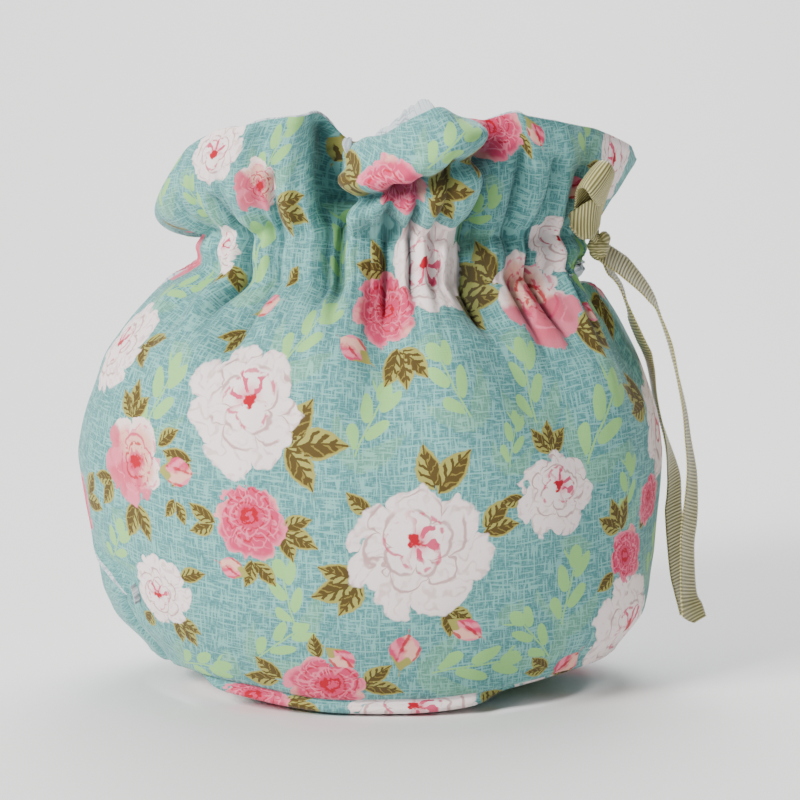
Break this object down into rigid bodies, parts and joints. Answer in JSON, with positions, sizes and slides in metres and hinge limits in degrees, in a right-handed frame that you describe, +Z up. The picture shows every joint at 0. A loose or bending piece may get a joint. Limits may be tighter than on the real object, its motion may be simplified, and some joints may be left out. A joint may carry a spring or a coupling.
{
  "type": "tea cosy",
  "caption": "Drawstring tea cosy: padded cloth body on an oval base, gathered neck, flaring ruffle, side slits for spout and handle, ribbon bow.",
  "frame": {"origin": "middle of the base's flat underside, which is also the resting plane", "axes": "+Z up; -Y the front; +X towards the bow and the handle's slit; -X towards the spout's slit"},
  "size_m": [0.2135, 0.1677, 0.1959],
  "materials": {
    "printed_cotton": "matt printed cotton, duck-egg blue crosshatch with a rose and peony spray print",
    "lining": "matt whitish lining with fine grey lines",
    "ribbon": "ribbed olive grosgrain, slightly glossy on the ribs"
  },
  "bodies": {
    "root": {"front_panel": "printed_cotton", "back_panel": "printed_cotton", "base_panel": "printed_cotton", "ruffle_lining": "lining", "ribbon_loop": "ribbon", "ribbon_knot": "ribbon", "ribbon_tail_front": "ribbon", "ribbon_tail_back": "ribbon"}
  },
  "joints": []
}
